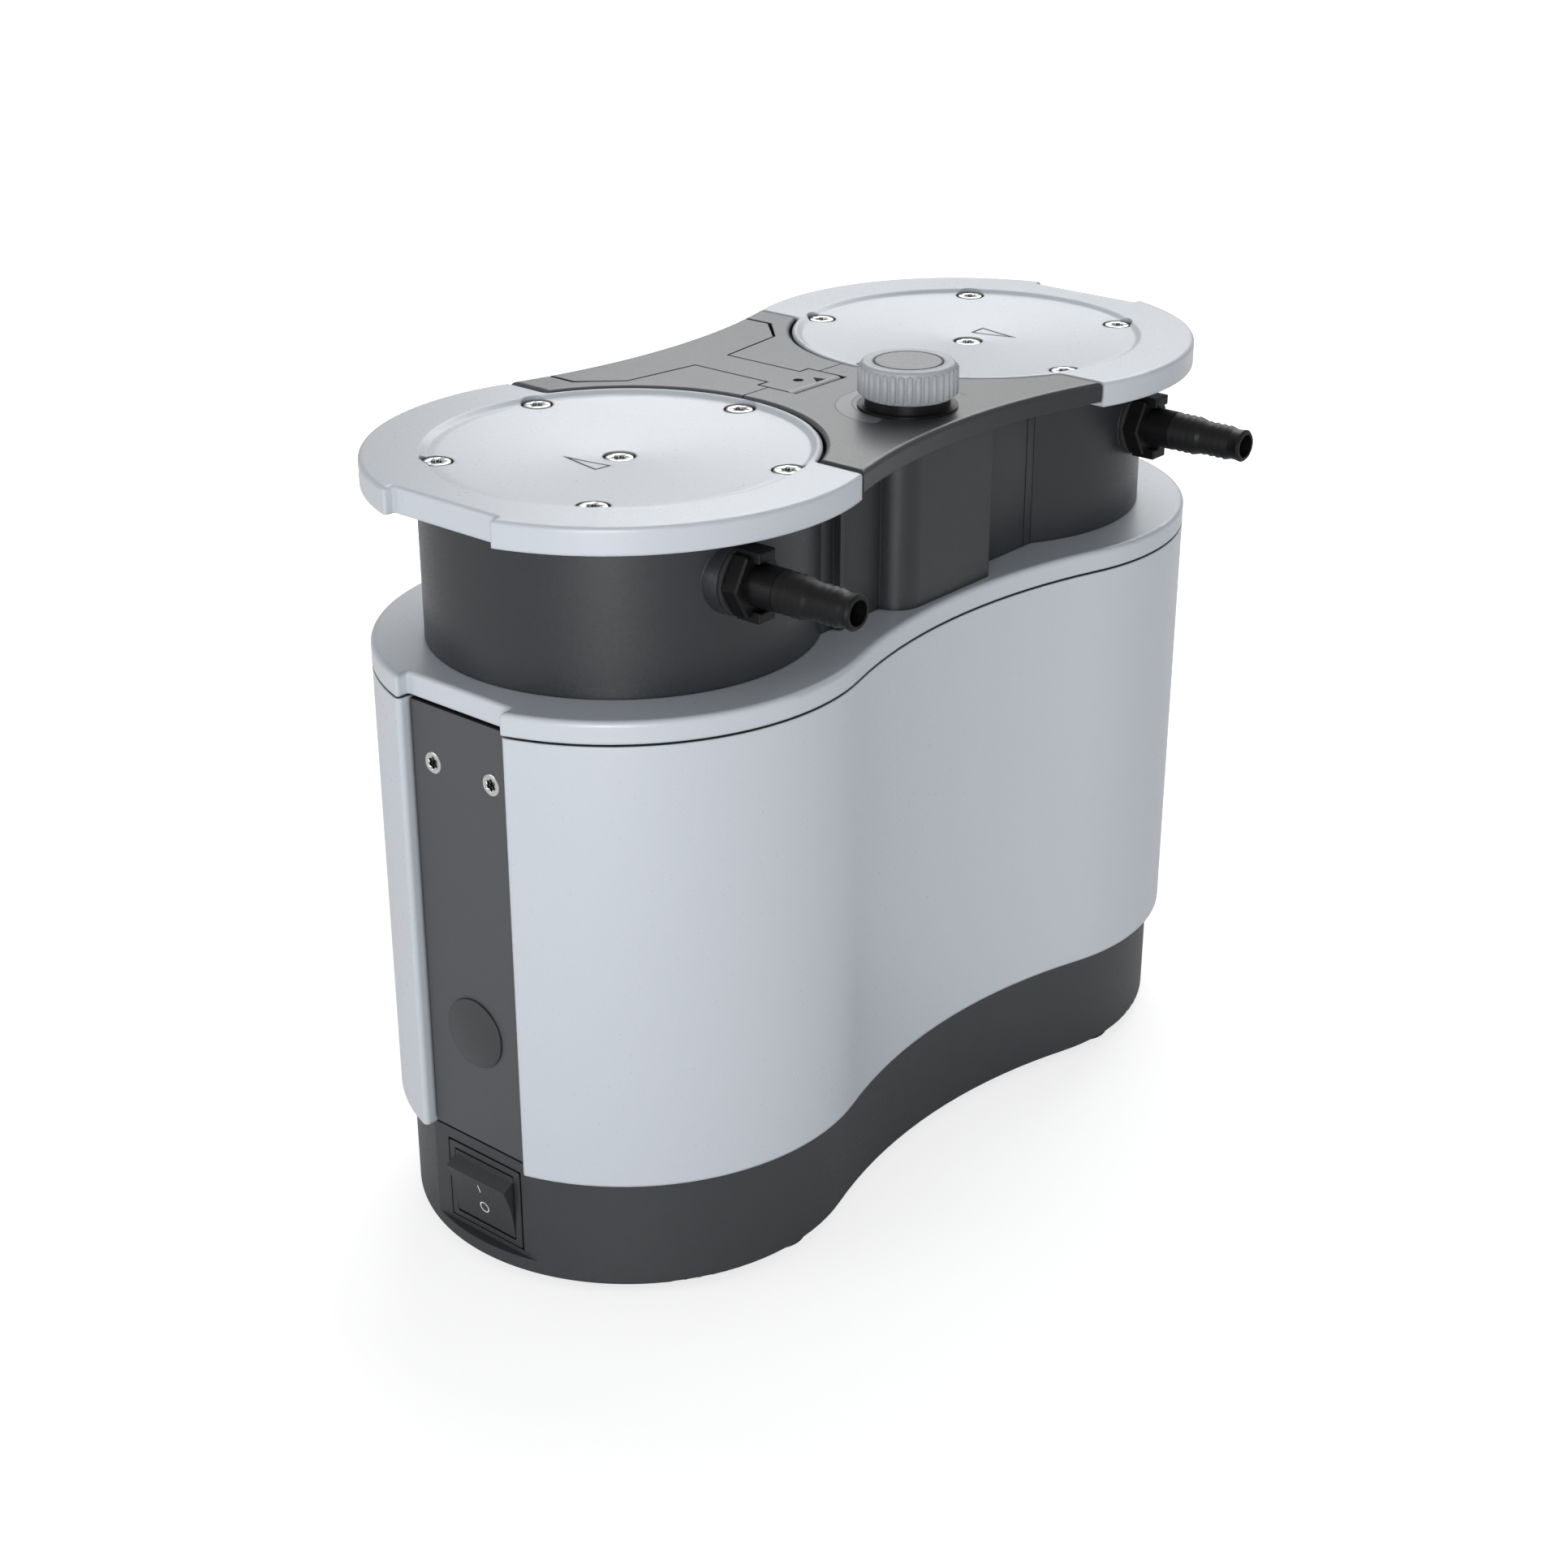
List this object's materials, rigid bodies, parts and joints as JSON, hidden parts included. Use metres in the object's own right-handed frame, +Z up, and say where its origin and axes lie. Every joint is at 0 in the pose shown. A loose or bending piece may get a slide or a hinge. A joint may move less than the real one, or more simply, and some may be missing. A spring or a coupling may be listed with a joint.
{
  "type": "diaphragm vacuum pump",
  "caption": "Bench-top diaphragm vacuum pump: waisted two-head body, hose connectors, flow knob, ballast lever, rocker switch and mains inlet.",
  "frame": {"origin": "midway between the two head axes, on the plane the feet stand on", "axes": "+X along the body from the switch end to the mains inlet end, -Y towards the hose connectors, +Z up"},
  "size_m": [0.2461, 0.1382, 0.2052],
  "materials": {
    "shell_paint": "satin light grey paint",
    "base_plastic": "dark grey matt moulding",
    "panel_plastic": "dark grey matt moulding",
    "head_plastic": "near black matt moulding",
    "cover_plastic": "dark grey satin moulding",
    "black_plastic": "black satin moulding",
    "gloss_black": "black gloss moulding",
    "knob_plastic": "mid grey satin moulding",
    "knob_cap_plastic": "grey satin moulding",
    "rubber": "matt black",
    "steel": "bright zinc plated",
    "spring_steel": "oiled steel",
    "pin_metal": "bright nickel plated",
    "aluminium": "turned",
    "cast": "as cast",
    "brass": "turned"
  },
  "bodies": {
    "machine": {"base_tray": "base_plastic", "rubber_feet": "rubber", "side_shell_hose": "shell_paint", "side_shell_plain": "shell_paint", "front_panel": "panel_plastic", "rear_panel": "panel_plastic", "front_panel_screws": "steel", "rear_panel_screws": "steel", "blanking_plug": "panel_plastic", "deck_seal": "rubber", "top_deck": "shell_paint", "head_housing_inlet": "head_plastic", "head_housing_outlet": "head_plastic", "diaphragm_inlet": "rubber", "diaphragm_outlet": "rubber", "valve_plate_inlet": "aluminium", "valve_plate_outlet": "aluminium", "valve_disc_inlet": "spring_steel", "valve_disc_outlet": "spring_steel", "valve_body_inlet": "aluminium", "valve_body_outlet": "aluminium", "head_plate_inlet": "shell_paint", "head_plate_outlet": "shell_paint", "head_plate_screws_inlet": "steel", "head_plate_screws_outlet": "steel", "centre_housing": "head_plastic", "bridge_cover_front": "cover_plastic", "bridge_cover_rear": "cover_plastic", "flow_scale_inlay": "knob_plastic", "flow_valve_collar": "black_plastic", "ballast_lever_pin": "steel", "ballast_valve_seat": "brass", "hose_connector_inlet": "black_plastic", "hose_connector_outlet": "black_plastic", "connector_seal_inlet": "rubber", "connector_seal_outlet": "rubber", "switch_bezel": "black_plastic", "mains_inlet": "black_plastic", "mains_pins": "pin_metal", "motor_cradle": "cast", "motor_stator": "spring_steel", "motor_end_shields": "cast", "shaft_bearings": "steel"},
    "rotor": {"motor_shaft": "steel", "rotor_core": "spring_steel", "eccentric_inlet": "spring_steel", "eccentric_outlet": "spring_steel"},
    "rod_inlet": {"connecting_rod_inlet": "cast", "rod_bearing_inlet": "steel", "diaphragm_clamp_inlet": "aluminium"},
    "rod_outlet": {"connecting_rod_outlet": "cast", "rod_bearing_outlet": "steel", "diaphragm_clamp_outlet": "aluminium"},
    "knob": {"flow_knob": "knob_plastic", "flow_knob_cap": "knob_cap_plastic"},
    "lever": {"ballast_lever": "cover_plastic"},
    "rocker": {"switch_rocker": "gloss_black"}
  },
  "joints": [
    {"name": "shaft_spin", "type": "hinge", "parent": "machine", "child": "rotor", "pos_m": [0, 0, 0.078], "axis": [1, 0, 0], "continuous": true},
    {"name": "rod_inlet_pivot", "type": "hinge", "parent": "rotor", "child": "rod_inlet", "pos_m": [-0.0665, 0, 0.081], "axis": [1, 0, 0], "continuous": true, "deforming": ["diaphragm_inlet"]},
    {"name": "rod_outlet_pivot", "type": "hinge", "parent": "rotor", "child": "rod_outlet", "pos_m": [0.0665, 0, 0.075], "axis": [1, 0, 0], "continuous": true, "deforming": ["diaphragm_outlet"]},
    {"name": "knob_turn", "type": "hinge", "parent": "machine", "child": "knob", "pos_m": [0, -0.03145, 0.2], "axis": [0, 0, 1], "range_deg": [0, 270]},
    {"name": "lever_lift", "type": "hinge", "parent": "machine", "child": "lever", "pos_m": [0, -0.0019, 0.1917], "axis": [1, 0, 0], "range_deg": [0, 60]},
    {"name": "rocker_tip", "type": "hinge", "parent": "machine", "child": "rocker", "pos_m": [-0.1173, 0, 0.0184], "axis": [0, 1, 0], "range_deg": [0, 14]}
  ],
  "couplings": [
    {"joint": "rod_inlet_pivot", "follows": "shaft_spin", "ratio": -1},
    {"joint": "rod_outlet_pivot", "follows": "shaft_spin", "ratio": -1}
  ]
}
